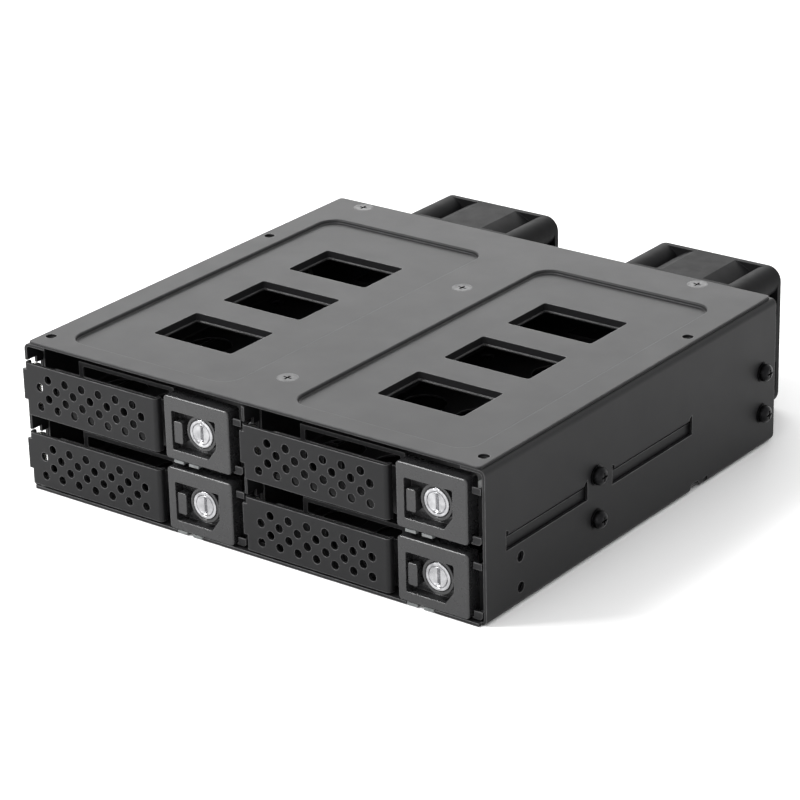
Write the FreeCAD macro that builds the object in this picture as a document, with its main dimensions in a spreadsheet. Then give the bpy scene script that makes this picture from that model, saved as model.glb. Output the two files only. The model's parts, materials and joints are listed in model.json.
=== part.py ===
import FreeCAD, Part
import math
import os
import re
import Sketcher

# Four bay cage for slim drives, as wide as one wide bay.
# +X right, +Y back, +Z up; the origin is the middle of the bottom, at the front edge of the cover.

doc = FreeCAD.newDocument("HotSwapDriveCage")
sheet = doc.addObject("Spreadsheet::Sheet", "Dimensions")

# Driving dimensions in millimetres, angles in degrees
DIMENSIONS = {
    "cageWidth": 146.0,
    "cageHeight": 41.3,
    "cageDepth": 133.0,
    "coverDepth": 132.45,
    "coverInset": 1.44,
    "gauge": 0.8,
    "bendRadius": 1.6,
    "rearCorner": 2.2,
    "wallFront": 0.1,
    "panFront": -1.0,
    "flangeWidth": 7.0,
    "columnPitch": 72.6,
    "rowPitch": 19.6,
    "slotFloor": 16.6,
    "shelfUnder": 19.8,
    "shelfWidth": 5.0,
    "hornTop": 22.0,
    "hornWidth": 1.2,
    "frontSlotStart": 8.5,
    "frontSlotEnd": 43.4,
    "rearSlotStart": 54.4,
    "rearSlotEnd": 91.7,
    "flapLength": 15.5,
    "flapGap": 4.0,
    "earNotchLow": 5.1,
    "earNotchHigh": 14.4,
    "earNotchDepth": 5.7,
    "swingNotchLow": 1.1,
    "swingNotchHigh": 16.2,
    "swingNotchDepth": 3.6,
    "footNotchStart": 91.3,
    "footNotchFlat": 3.4,
    "footNotchLength": 5.9,
    "footNotchHeight": 2.4,
    "footNotchInset": 4.4,
    "footSlotStart": 97.4,
    "footSlotLength": 2.3,
    "footSlotLow": 0.6,
    "footSlotHigh": 2.1,
    "guideHoleY": 14.45,
    "guideHoleLow": 4.7,
    "guideHoleHigh": 12.9,
    "guideHoleRadius": 1.4,
    "dividerEnd": 116.5,
    "dividerTab": 8.0,
    "dividerTabFirst": 12.0,
    "dividerTabPitch": 45.0,
    "earLength": 12.0,
    "earCorner": 1.0,
    "earWidth": 10.0,
    "recessDepth": 1.0,
    "recessInner": 9.8,
    "recessOuter": 63.5,
    "recessFront": 6.6,
    "recessBack": 117.0,
    "recessCorner": 5.0,
    "recessWall": 0.6,
    "windowCentre": 36.4,
    "windowWidth": 26.2,
    "windowFirst": 24.0,
    "windowLength": 17.5,
    "windowPitch": 28.1,
    "windowCorner": 0.9,
    "rimDepth": 1.7,
    "rimLip": 0.4,
    "recessSoftTop": 0.6,
    "recessSoftLow": 0.35,
    "edgeSoftness": 0.25,
    "coverCorner": 1.2,
    "coverHoleX": 68.7,
    "coverHoleFront": 5.9,
    "coverHoleBack": 95.96,
    "coverHoleRadius": 1.45,
    "sinkRadius": 2.7,
    "sinkDepth": 0.8,
    "screwRadius": 1.5,
    "middleScrewFront": 18.0,
    "middleScrewBack": 92.7,
    "rearScrewLeft": -60.9,
    "rearScrewRight": 51.0,
    "rearScrewY": 129.0,
    "coverScrewLength": 1.0,
    "rearScrewLength": 2.4,
    "driverWidth": 0.5,
    "driverLength": 2.4,
    "driverDepth": 0.6,
    "sideScrewFront": 47.4,
    "sideScrewPitch": 79.25,
    "sideScrewLow": 10.0,
    "sideScrewHigh": 21.84,
    "bottomHoleX": 69.85,
    "bottomHoleRadius": 1.25,
    "washerRadius": 2.7,
    "washerThickness": 0.4,
    "panHeadRadius": 2.4,
    "panHeadHeight": 2.0,
    "panHeadDome": 1.5,
    "panelY": 131.65,
    "panelBottom": 0.8,
    "panelFlange": 5.0,
    "panelClear": 0.3,
    "fanX": 43.0,
    "fanSize": 40.0,
    "fanDepth": 20.0,
    "fanBottom": 1.0,
    "fanFlange": 1.6,
    "fanCorner": 4.0,
    "fanBore": 19.0,
    "fanDuct": 21.0,
    "fanPostRadius": 4.0,
    "fanPostPlace": 16.0,
    "fanHoleRadius": 1.75,
    "fanInlet": 18.5,
    "fanHubRadius": 10.5,
    "fanStrutWidth": 2.4,
    "fanStrutDepth": 2.5,
    "rotorGap": 0.5,
    "rotorLength": 15.0,
    "bladeThickness": 1.1,
    "bladeAngle": 38.0,
    "fanShaft": 1.0,
    "fanBoss": 3.0,
    "fanBossBack": 0.5,
    "fanBearingFloor": 0.8,
    "fanShaftEnd": 1.1,
    "fanStrutRoot": 0.3,
    "cupWall": 1.2,
    "bladeRoot": 0.6,
    "bladeTipGap": 0.9,
    "bladeInset": 1.0,
    "runningFit": 0.05,
    "fanScrewLength": 6.0,
    "boardY": 118.0,
    "boardThickness": 1.6,
    "boardCorner": 0.8,
    "boardHalfWidth": 71.5,
    "boardBottom": 1.4,
    "boardTop": 39.2,
    "boardVentLow": 9.4,
    "boardVentHeight": 7.6,
    "boardVentWidth": 37.0,
    "plugWidth": 42.7,
    "plugHeight": 5.2,
    "plugCorner": 0.6,
    "plugEndWall": 5.0,
    "plugKeyPlace": 16.0,
    "plugDepth": 8.4,
    "plugX": 7.0,
    "plugLow": 2.8,
    "plugSlotHeight": 2.4,
    "plugSlotDepth": 6.0,
    "plugKey": 1.4,
    "dataX": 6.7,
    "dataLow": 8.0,
    "dataPitchX": 15.8,
    "dataPitchZ": 13.0,
    "dataWidth": 13.6,
    "dataHeight": 6.6,
    "dataDepth": 11.6,
    "dataSlot": 2.0,
    "dataWall": 1.6,
    "dataKeyWidth": 1.4,
    "portDepth": 6.0,
    "portCorner": 0.5,
    "powerX": -61.0,
    "powerPitch": 10.4,
    "powerWidth": 7.4,
    "powerHeight": 25.0,
    "powerLow": 8.4,
    "powerSlot": 2.4,
    "powerWall": 1.8,
    "portMargin": 1.2,
    "openingCorner": 1.0,
    "standoffX": 68.0,
    "standoffMiddle": 6.7,
    "standoffLow": 4.4,
    "standoffHigh": 36.4,
    "standoffRadius": 2.5,
    "postThread": 5.0,
    "boardScrewLength": 4.0,
    "boardHeadRadius": 2.4,
    "boardHeadHeight": 1.0,
    "ledWidth": 1.6,
    "ledHeight": 0.8,
    "ledDepth": 0.7,
    "ledLift": 0.1,
    "trayGauge": 0.5,
    "trayGap": 0.35,
    "trayFloor": 1.3,
    "trayTop": 19.4,
    "trayBend": 1.0,
    "trayEnd": 116.0,
    "trayRight": 0.0,
    "trayFaceY": 3.5,
    "trayFaceLeft": -29.2,
    "trayFaceTop": 14.0,
    "railLeft": -21.0,
    "railRight": 11.0,
    "railTop": 18.1,
    "railDepth": 2.0,
    "railPost": 1.4,
    "railBand": 1.1,
    "ventWidth": 3.2,
    "ventPitch": 5.6,
    "ventLow": 4.4,
    "ventHigh": 12.0,
    "floorHoleRadius": 6.0,
    "floorHolePitchX": 17.0,
    "floorHolePitchY": 17.5,
    "floorHoleX": -26.0,
    "floorHoleY": 26.0,
    "driveHoleX": 30.86,
    "driveHoleFront": 19.85,
    "driveHolePitch": 76.6,
    "driveHoleRadius": 1.6,
    "lugLeft": 33.1,
    "lugLowBottom": 1.7,
    "lugLowTop": 3.4,
    "lugHighBottom": 14.5,
    "lugHighTop": 16.2,
    "lugClear": 0.4,
    "faceClear": 0.3,
    "earRoot": 1.5,
    "lockHoleClear": 0.4,
    "guideClear": 0.1,
    "handleFront": -1.0,
    "handleLeft": -36.3,
    "handleRight": 8.8,
    "handleLow": 1.4,
    "handleHigh": 15.9,
    "handleBend": 1.2,
    "handleReturn": 1.4,
    "tabTip": -36.75,
    "tabLow": 5.6,
    "tabHigh": 14.1,
    "tabRoot": 3.0,
    "tabRelief": 0.1,
    "eyeRoot": 0.2,
    "gripRadius": 1.2,
    "gripPitch": 5.77,
    "gripStartShort": -28.1,
    "gripStartLong": -31.1,
    "gripFirst": 12.6,
    "gripRow": 2.68,
    "pinX": -34.2,
    "pinY": 1.25,
    "pinRadius": 0.75,
    "knuckleRadius": 1.35,
    "knuckleLow": 2.3,
    "knuckleHigh": 14.2,
    "trayKnuckle": 1.15,
    "knuckleClear": 0.3,
    "springRadius": 1.2,
    "springBore": 0.95,
    "springMargin": 1.4,
    "latchLeft": 11.3,
    "latchRight": 32.3,
    "latchLow": 0.8,
    "latchHigh": 18.0,
    "latchCorner": 1.0,
    "latchSoftness": 0.45,
    "pocketLeft": 13.7,
    "pocketRight": 28.0,
    "pocketLow": 3.5,
    "pocketHigh": 14.2,
    "pocketCornerX": 25.4,
    "pocketCornerZ": 7.0,
    "pocketFloor": 2.0,
    "pocketCorner": 0.5,
    "collarInset": 0.3,
    "lockX": 23.2,
    "lockZ": 9.9,
    "lockRadius": 3.65,
    "lockGroove": 0.3,
    "lockCollar": 4.6,
    "lockFront": -0.9,
    "lockBack": 8.0,
    "keyWidth": 0.9,
    "keyLength": 4.6,
    "keyDepth": 2.4,
    "rimNotchWidth": 1.0,
    "rimNotchDepth": 0.8,
    "camLength": 4.9,
    "camWidth": 3.0,
    "camStart": 4.6,
    "camThickness": 1.0,
    "slatLeft": 14.2,
    "slatRight": 17.6,
    "slatLow": 5.5,
    "slatHigh": 11.3,
    "slatFront": -0.7,
    "slatNeck": 2.2,
    "slatTrim": 0.7,
    "slatCorner": 0.4,
    "slatSkin": 0.5,
    "barTrim": 1.2,
    "channelTrim": 0.9,
    "slatTravel": 1.4,
    "catchNose": 9.2,
    "catchClear": 0.3,
    "fingerBack": 5.8,
    "fingerWidth": 2.4,
    "catchSpring": 0.8,
    "pipeLeft": 13.9,
    "pipeSecond": 18.8,
    "pipeWidth": 3.1,
    "pipeLow": 0.05,
    "pipeStep": 5.0,
    "pipeTop": 1.75,
    "pipeThin": 0.6,
    "pipeEndGap": 3.0,
}

for number, (alias, size) in enumerate(DIMENSIONS.items(), start=1):
    sheet.set(f"A{number}", alias)
    sheet.set(f"B{number}", str(size))
    sheet.setAlias(f"B{number}", alias)
doc.recompute()


def formula(text):
    """Puts the sheet's name before each dimension that an expression uses."""
    return re.sub(r"[A-Za-z]\w*",
        lambda word: "Dimensions." + word[0] if word[0] in DIMENSIONS else word[0], str(text))


def value(text):
    """Works out an expression in the sheet's dimensions as a plain number."""
    return float(sheet.evalExpression(formula(text)))


def part_body(label, x="0", y="0", z="0"):
    """Starts a piece as a body whose place is bound to the sheet."""
    body = doc.addObject("PartDesign::Body", label)
    body.Label = label
    body.AllowCompound = True
    for axis, text in zip("xyz", (x, y, z)):
        body.setExpression(f"Placement.Base.{axis}", formula(text))
    return body


NORMAL_SIGN = {"XY": 1, "XZ": -1, "YZ": 1}


def plane_sketch(body, plane, height):
    """A sketch on one of the body's own planes, at a height along that plane's world axis."""
    support = next(feature for feature in body.Origin.OriginFeatures if feature.Role == plane + "_Plane")
    sketch = body.newObject("Sketcher::SketchObject", "Sketch")
    sketch.AttachmentSupport = (support, [""])
    sketch.MapMode = "FlatFace"
    sign = NORMAL_SIGN[plane]
    sketch.setExpression("AttachmentOffset.Base.z", formula(f"{sign} * ({height})"))
    return sketch


def bind_distance(sketch, kind, place, text):
    """Fixes one coordinate of a point from the sketch's origin by an expression."""
    geometry, point = place
    index = sketch.addConstraint(Sketcher.Constraint(kind, -1, 1, geometry, point, value(text)))
    sketch.setExpression(f"Constraints[{index}]", formula(text))


def draw_circle(sketch, x, y, radius):
    """A round outline with a bound centre and radius."""
    centre = FreeCAD.Vector(value(x), value(y), 0)
    circle = sketch.addGeometry(Part.Circle(centre, FreeCAD.Vector(0, 0, 1), value(radius)))
    bind_distance(sketch, "DistanceX", (circle, 3), x)
    bind_distance(sketch, "DistanceY", (circle, 3), y)
    index = sketch.addConstraint(Sketcher.Constraint("Radius", circle, value(radius)))
    sketch.setExpression(f"Constraints[{index}]", formula(radius))


def draw_outline(sketch, corners):
    """A closed outline through corners (x, y) or (x, y, radius), each number an expression."""
    corners = [(str(c[0]), str(c[1]), str(c[2]) if len(c) > 2 else None) for c in corners]
    points = [FreeCAD.Vector(value(x), value(y), 0) for x, y, radius in corners]
    count = len(corners)
    trims = []
    for i, (x, y, radius) in enumerate(corners):
        if radius is None:
            trims.append(None)
            continue
        before = (points[i - 1] - points[i]).normalize()
        after = (points[(i + 1) % count] - points[i]).normalize()
        half = before.getAngle(after) / 2
        length = value(radius) / math.tan(half)
        middle = (before + after).normalize() * (value(radius) / math.sin(half))
        trims.append((points[i] + before * length, points[i] + after * length, points[i] + middle))
    lines = []
    for i in range(count):
        start = trims[i][1] if trims[i] else points[i]
        end = trims[(i + 1) % count][0] if trims[(i + 1) % count] else points[(i + 1) % count]
        lines.append(sketch.addGeometry(Part.LineSegment(start, end)))
    upright = []
    level = []
    for i, line in enumerate(lines):
        here, there = points[i], points[(i + 1) % count]
        upright.append(abs(here.x - there.x) < 1e-6)
        level.append(abs(here.y - there.y) < 1e-6)
        if upright[i]:
            sketch.addConstraint(Sketcher.Constraint("Vertical", line))
            bind_distance(sketch, "DistanceX", (line, 1), corners[i][0])
        elif level[i]:
            sketch.addConstraint(Sketcher.Constraint("Horizontal", line))
            bind_distance(sketch, "DistanceY", (line, 1), corners[i][1])
    for i, (x, y, radius) in enumerate(corners):
        previous, line = lines[i - 1], lines[i]
        if radius is None:
            sketch.addConstraint(Sketcher.Constraint("Coincident", previous, 2, line, 1))
            if not (upright[i] or upright[i - 1]):
                bind_distance(sketch, "DistanceX", (line, 1), x)
            if not (level[i] or level[i - 1]):
                bind_distance(sketch, "DistanceY", (line, 1), y)
            continue
        start, end, centre = trims[i]
        middle = centre + (points[i] - centre).normalize() * value(radius)
        arc = sketch.addGeometry(Part.Arc(start, middle, end))
        first, last = (1, 2) if same_point(sketch.getPoint(arc, 1), start) else (2, 1)
        sketch.addConstraint(Sketcher.Constraint("Tangent", previous, 2, arc, first))
        sketch.addConstraint(Sketcher.Constraint("Tangent", arc, last, line, 1))
        index = sketch.addConstraint(Sketcher.Constraint("Radius", arc, value(radius)))
        sketch.setExpression(f"Constraints[{index}]", formula(radius))


def same_point(one, other):
    """Whether two points lie together."""
    return (FreeCAD.Vector(one) - FreeCAD.Vector(other)).Length < 1e-6


def box_corners(left, right, low, high, radius=None):
    """The four corners of a rectangle, rounded where a radius is given."""
    corners = [(left, low), (right, low), (right, high), (left, high)]
    return corners if radius is None else [corner + (radius,) for corner in corners]


def draw(sketch, outlines):
    """Draws outlines: a tuple of three is a circle, a list is a polygon."""
    for outline in outlines:
        if isinstance(outline, tuple):
            draw_circle(sketch, *outline)
        else:
            draw_outline(sketch, outline)


def add(body, plane, start, end, *outlines):
    """Pads outlines between two places along the plane's world axis."""
    sketch = plane_sketch(body, plane, end if plane == "XZ" else start)
    draw(sketch, outlines)
    pad = body.newObject("PartDesign::Pad", "Pad")
    pad.Profile = sketch
    pad.setExpression("Length", formula(f"({end}) - ({start})"))
    return pad


def cut(body, plane, start, end, *outlines):
    """Pockets outlines between two places along the plane's world axis."""
    sketch = plane_sketch(body, plane, start if plane == "XZ" else end)
    draw(sketch, outlines)
    pocket = body.newObject("PartDesign::Pocket", "Pocket")
    pocket.Profile = sketch
    pocket.setExpression("Length", formula(f"({end}) - ({start})"))
    return pocket


# Places worked out from the driving dimensions
WALL_OUT = "cageWidth / 2"
WALL_IN = "(cageWidth / 2 - gauge)"
COVER_LOW = "(cageHeight - gauge)"
FLANGE_LOW = "(cageHeight - 2 * gauge)"
SHELF_TOP = "(shelfUnder + gauge)"
BEND_TOP = "(shelfUnder + bendRadius)"
THROUGH = "1"
HAIR = "0.01"
BLADES = 7
GRIP_ROWS = ((6, "gripStartShort"), (7, "gripStartLong"), (6, "gripStartShort"), (7, "gripStartLong"))


def mirror_x(outline):
    """The same outline on the other side of the middle plane."""
    return [("-(" + corner[0] + ")",) + corner[1:] for corner in outline]


def handle_notches():
    """Stepped notches in a front edge, where the two rows' handles and their tabs swing in."""
    outlines = []
    for row in range(2):
        low = f"({row} * rowPitch)"
        outlines.append([
            ("-gauge", f"{low} + swingNotchLow"),
            ("swingNotchDepth", f"{low} + swingNotchLow"),
            ("swingNotchDepth", f"{low} + earNotchLow"),
            ("earNotchDepth", f"{low} + earNotchLow"),
            ("earNotchDepth", f"{low} + earNotchHigh"),
            ("swingNotchDepth", f"{low} + earNotchHigh"),
            ("swingNotchDepth", f"{low} + swingNotchHigh"),
            ("-gauge", f"{low} + swingNotchHigh"),
        ])
    return outlines


def divider_tab_places():
    """Where the divider's two foot tabs start along the depth."""
    return [f"(dividerTabFirst + {number} * dividerTabPitch)" for number in range(2)]


def slot_ranges():
    """Start and end of the two side slots."""
    return [("frontSlotStart", "frontSlotEnd"), ("rearSlotStart", "rearSlotEnd")]


def chassis_shell():
    """Pan and two walls folded from one sheet, with shelves lanced in from the walls."""
    body = part_body("chassis_shell")
    flange_end = f"({WALL_OUT} - flangeWidth)"
    right = [
        (WALL_OUT, "0", "bendRadius"),
        (WALL_OUT, COVER_LOW, "bendRadius"),
        (flange_end, COVER_LOW),
        (flange_end, FLANGE_LOW),
        (WALL_IN, FLANGE_LOW, "bendRadius - gauge"),
        (WALL_IN, "gauge", "bendRadius - gauge"),
    ]
    whole = right + mirror_x(reversed(right))
    add(body, "XZ", "wallFront", "cageDepth", whole)
    add(body, "XY", "0", "gauge", box_corners(f"-({WALL_OUT} - bendRadius)", f"{WALL_OUT} - bendRadius",
        "panFront", "wallFront + gauge"))
    for side in (1, -1):
        low, high = (WALL_IN, f"{WALL_OUT} + {THROUGH}") if side > 0 else (f"-({WALL_OUT} + {THROUGH})",
            f"-{WALL_IN}")
        openings = []
        for start, end in slot_ranges():
            openings.append([
                (start, "slotFloor"),
                (end, "slotFloor"),
                (end, "hornTop"),
                (f"{end} - hornWidth", BEND_TOP),
                (f"{start} + hornWidth", BEND_TOP),
                (start, "hornTop"),
            ])
        openings.append([
            ("footNotchStart", f"-{THROUGH}"),
            ("footNotchStart", "footNotchHeight", "footNotchHeight / 3"),
            ("footNotchStart + footNotchFlat", "footNotchHeight", "footNotchHeight / 3"),
            ("footNotchStart + footNotchLength", "0"),
            ("footNotchStart + footNotchLength", f"-{THROUGH}"),
        ])
        openings.append(box_corners("footSlotStart", "footSlotStart + footSlotLength", "footSlotLow",
            "footSlotHigh"))
        openings.append(("guideHoleY", "guideHoleLow", "guideHoleRadius"))
        openings.append(("guideHoleY", "guideHoleHigh", "guideHoleRadius"))
        for row in range(2):
            for column in range(2):
                place = (f"sideScrewFront + {column} * sideScrewPitch",
                    f"sideScrewLow + {row} * (sideScrewHigh - sideScrewLow)")
                openings.append(place + ("screwRadius",))
        cut(body, "YZ", low, high, *openings)
        inner = f"({WALL_OUT} - bendRadius - shelfWidth)"
        shelf = [
            (WALL_OUT, f"{BEND_TOP} + gauge"),
            (WALL_OUT, "shelfUnder", "bendRadius"),
            (inner, "shelfUnder"),
            (inner, SHELF_TOP),
            (WALL_IN, SHELF_TOP, "bendRadius - gauge"),
            (WALL_IN, f"{BEND_TOP} + gauge"),
        ]
        for start, end in slot_ranges():
            add(body, "XZ", f"{start} + hornWidth", f"{end} - hornWidth",
                shelf if side > 0 else mirror_x(shelf))
        corner = [
            ("cageDepth + rearCorner", "-rearCorner"),
            ("cageDepth + rearCorner", "2 * rearCorner"),
            ("cageDepth", "2 * rearCorner"),
            ("cageDepth", "0", "rearCorner"),
            ("cageDepth - 2 * rearCorner", "0"),
            ("cageDepth - 2 * rearCorner", "-rearCorner"),
        ]
        bend = f"({WALL_OUT} - bendRadius)"
        cut(body, "YZ", bend if side > 0 else low, high if side > 0 else f"-{bend}", corner)
    cut(body, "YZ", f"-({WALL_OUT} + {THROUGH})", f"-({WALL_OUT} - bendRadius)", *handle_notches())
    slots = []
    for side in (-1, 1):
        centre = f"{side} * columnPitch / 2"
        slots.append(box_corners(f"{centre} + pipeLeft - catchClear",
            f"{centre} + pipeSecond + pipeWidth + catchClear",
                                 f"panFront - {THROUGH}", "pipeStep + catchClear"))
        inner, outer = f"({WALL_IN} - footNotchInset)", f"({WALL_OUT} - gauge / 2)"
        near, far = (inner, outer) if side > 0 else (f"-{outer}", f"-{inner}")
        slots.append(box_corners(near, far, "footNotchStart", "footNotchStart + footNotchLength"))
        for number in range(2):
            slots.append((f"{side} * bottomHoleX", f"sideScrewFront + {number} * sideScrewPitch",
                "bottomHoleRadius"))
    for start in divider_tab_places():
        slots.append(box_corners("-gauge / 2", "gauge / 2", start, f"{start} + dividerTab"))
    cut(body, "XY", f"-{THROUGH}", "gauge", *slots)
    holes = [(f"{side} * coverHoleX", place, "coverHoleRadius") for side in (-1, 1)
        for place in ("coverHoleFront", "coverHoleBack")]
    cut(body, "XY", f"{FLANGE_LOW} - {THROUGH}", f"cageHeight + {THROUGH}", *holes)
    return body


def top_cover():
    """Flat lid with two drawn panels and six windows."""
    body = part_body("top_cover")
    half = "(cageWidth / 2 - coverInset)"
    add(body, "XY", COVER_LOW, "cageHeight", box_corners(f"-{half}", half, "0", "coverDepth", "coverCorner"))
    panels = [("-recessOuter", "-recessInner"), ("recessInner", "recessOuter")]
    add(body, "XY", f"{COVER_LOW} - recessDepth", f"{COVER_LOW} + gauge / 2",
        *[box_corners(f"{inner} - recessWall", f"{outer} + recessWall", "recessFront - recessWall",
        "recessBack + recessWall",
                      "recessCorner + recessWall") for inner, outer in panels])
    cut(body, "XY", "cageHeight - recessDepth", f"cageHeight + {THROUGH}",
        *[box_corners(inner, outer, "recessFront", "recessBack", "recessCorner") for inner, outer in panels])
    hair = value(HAIR)
    top, panel_top = value("cageHeight") - hair, value("cageHeight - recessDepth")
    corner_end, panel_back = value("coverCorner") + hair, value("recessBack") + hair
    corner_start = value("coverDepth - coverCorner") - hair
    soften(body, "recessSoftTop",
        lambda box: box.ZMin > top and box.YMin > corner_end and box.YMax < panel_back)
    soften(body, "recessSoftLow", lambda box: abs(box.ZMax - panel_top) < hair and box.ZLength < hair)
    soften(body, "edgeSoftness",
        lambda box: box.ZMin > top and (box.YMin < corner_end or box.YMax > corner_start))
    rim_low = f"({COVER_LOW} - recessDepth - rimDepth)"
    add(body, "XY", rim_low, f"{COVER_LOW} - recessDepth / 2", *windows("recessWall"))
    cut(body, "XY", f"{rim_low} + rimLip", f"cageHeight + {THROUGH}", *windows("0"))
    cut(body, "XY", f"{rim_low} - {THROUGH}", f"{rim_low} + {THROUGH}", *windows("-rimLip"))
    holes = [(f"{side} * coverHoleX", place, "coverHoleRadius") for side in (-1, 1)
        for place in ("coverHoleFront", "coverHoleBack")]
    holes += [(x, y, "screwRadius") for x, y in screw_places()]
    cut(body, "XY", f"{COVER_LOW} - {THROUGH}", f"cageHeight + {THROUGH}", *holes)
    for x, y in screw_places():
        countersink(body, x, y)
    return body


def windows(margin):
    """Outlines of the six windows, wider by a margin all round."""
    outlines = []
    for side in (-1, 1):
        for number in range(3):
            start = f"(windowFirst + {number} * windowPitch)"
            centre = f"({side} * windowCentre)"
            outlines.append(box_corners(f"{centre} - windowWidth / 2 - ({margin})",
                f"{centre} + windowWidth / 2 + ({margin})",
                                        f"{start} - ({margin})", f"{start} + windowLength + ({margin})",
                                        f"windowCorner + ({margin})"))
    return outlines


def soften(body, radius, chosen):
    """Rounds the edges whose bounding box passes a test."""
    doc.recompute()
    base = body.Tip
    names = [f"Edge{number}" for number, edge in enumerate(base.Shape.Edges,
        start=1) if chosen(edge.BoundBox)]
    rounding = body.newObject("PartDesign::Fillet", "Rounding")
    rounding.Base = (base, names)
    rounding.setExpression("Radius", formula(radius))
    return rounding


def screw_places():
    """The four countersunk screws of the cover."""
    return [
        ("0", "middleScrewFront"),
        ("0", "middleScrewBack"),
        ("rearScrewLeft", "rearScrewY"),
        ("rearScrewRight", "rearScrewY"),
    ]


def countersink(body, x, y):
    """A cone cut by a groove about an upright line through the screw's place."""
    turn(body, "PartDesign::Groove", "Z", (x, y), [
        ("0", "cageHeight - sinkDepth"),
        ("sinkRadius - sinkDepth", "cageHeight - sinkDepth"),
        ("sinkRadius", "cageHeight"),
        ("0", "cageHeight"),
    ])


def turn(body, kind, axis, place, outline):
    """Turns a half section about a line along Z through x, y, or along X through y, z."""
    if axis == "Z":
        sketch = plane_sketch(body, "XZ", place[1])
        sketch.setExpression("AttachmentOffset.Base.x", formula(place[0]))
        line = "V_Axis"
    else:
        sketch = plane_sketch(body, "XY", place[1])
        sketch.setExpression("AttachmentOffset.Base.y", formula(place[0]))
        line = "H_Axis"
    draw_outline(sketch, outline)
    turned = body.newObject(kind, "Turned")
    turned.Profile = sketch
    turned.ReferenceAxis = (sketch, [line])
    turned.Angle = 360
    return turned


def centre_divider():
    """Upright sheet between the columns, with flaps lanced to both sides in turn."""
    body = part_body("centre_divider")
    top = FLANGE_LOW
    add(body, "YZ", "-gauge / 2", "gauge / 2", box_corners("wallFront", "dividerEnd", "gauge", top))
    tabs = [box_corners(start, f"{start} + dividerTab", "0", "2 * gauge") for start in divider_tab_places()]
    add(body, "YZ", "-gauge / 2", "gauge / 2", *tabs)
    for place in ("middleScrewFront", "middleScrewBack"):
        add(body, "XY", top, COVER_LOW, box_corners("-earWidth / 2", "earWidth / 2",
            f"{place} - earLength / 2",
                                                    f"{place} + earLength / 2", "earCorner"))
    for place in ("middleScrewFront", "middleScrewBack"):
        cut(body, "XY", f"{top} - coverScrewLength", f"{COVER_LOW} + {THROUGH}", ("0", place, "screwRadius"))
    flaps = []
    for start, end in slot_ranges():
        flaps.append((start, f"{start} + flapLength", -1))
        flaps.append((f"{start} + flapLength + flapGap", f"{start} + 2 * flapLength + flapGap", 1))
    openings = [[
        (start, "slotFloor"),
        (end, "slotFloor"),
        (end, "hornTop"),
        (f"{end} - hornWidth", BEND_TOP),
        (f"{start} + hornWidth", BEND_TOP),
        (start, "hornTop"),
    ] for start, end, side in flaps]
    cut(body, "YZ", "-gauge", "gauge", *openings, *handle_notches())
    for start, end, side in flaps:
        flap = [
            ("-gauge / 2", f"{BEND_TOP} + gauge"),
            ("-gauge / 2", "shelfUnder", "bendRadius"),
            ("shelfWidth + bendRadius - gauge / 2", "shelfUnder"),
            ("shelfWidth + bendRadius - gauge / 2", SHELF_TOP),
            ("gauge / 2", SHELF_TOP, "bendRadius - gauge"),
            ("gauge / 2", f"{BEND_TOP} + gauge"),
        ]
        add(body, "XZ", f"{start} + hornWidth", f"{end} - hornWidth", flap if side > 0 else mirror_x(flap))
    return body


def fan_centres():
    """Centres of the two fans: name, x and z."""
    middle = "(fanBottom + fanSize / 2)"
    return [("left", "(fanX - columnPitch)", middle), ("right", "fanX", middle)]


def rear_panel():
    """Panel behind the board that carries the fans and passes the connectors."""
    body = part_body("rear_panel")
    low = "panelBottom"
    add(body, "XZ", "panelY", "panelY + gauge",
        box_corners(f"-{WALL_IN}", WALL_IN, low, FLANGE_LOW, f"bendRadius - gauge + {HAIR}"))
    flange_start = "(panelY - panelFlange)"
    add(body, "XZ", flange_start, "panelY + gauge / 2",
        box_corners(f"-{WALL_IN}", f"-{WALL_IN} + gauge", f"{low} + 2 * gauge", f"{FLANGE_LOW} - 2 * gauge"),
        box_corners(f"{WALL_IN} - gauge", WALL_IN, f"{low} + 2 * gauge", f"{FLANGE_LOW} - 2 * gauge"))
    top_edge = f"({WALL_OUT} - flangeWidth - panelClear)"
    add(body, "XY", FLANGE_LOW, COVER_LOW, box_corners(f"-{top_edge}", top_edge, flange_start,
        "panelY + gauge"))
    openings = []
    for name, x, z in fan_centres():
        openings.append((x, z, "fanInlet"))
        for across in (-1, 1):
            for up in (-1, 1):
                openings.append((f"{x} + {across} * fanPostPlace", f"{z} + {up} * fanPostPlace",
                    "screwRadius"))
    openings.append(box_corners("dataX - dataPitchX / 2 - dataWidth / 2 - portMargin",
        "dataX + dataPitchX / 2 + dataWidth / 2 + portMargin",
                                "dataLow - portMargin", "dataLow + dataPitchZ + dataHeight + portMargin",
                                "openingCorner"))
    openings.append(box_corners("powerX - powerPitch / 2 - powerWidth / 2 - portMargin",
        "powerX + powerPitch / 2 + powerWidth / 2 + portMargin",
                                "powerLow - portMargin", "powerLow + powerHeight + portMargin",
                                "openingCorner"))
    cut(body, "XZ", f"panelY - {THROUGH}", f"panelY + gauge + {THROUGH}", *openings)
    cut(body, "XY", f"{FLANGE_LOW} - {THROUGH}", f"{COVER_LOW} + {THROUGH}",
        *[(x, y, "screwRadius") for x, y in screw_places()[2:]])
    side_holes = [("sideScrewFront + sideScrewPitch", z, "panHeadRadius")
        for z in ("sideScrewLow", "sideScrewHigh")]
    cut(body, "YZ", f"-({WALL_IN} + {THROUGH})", f"{WALL_IN} + {THROUGH}", *side_holes)
    return body


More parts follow.
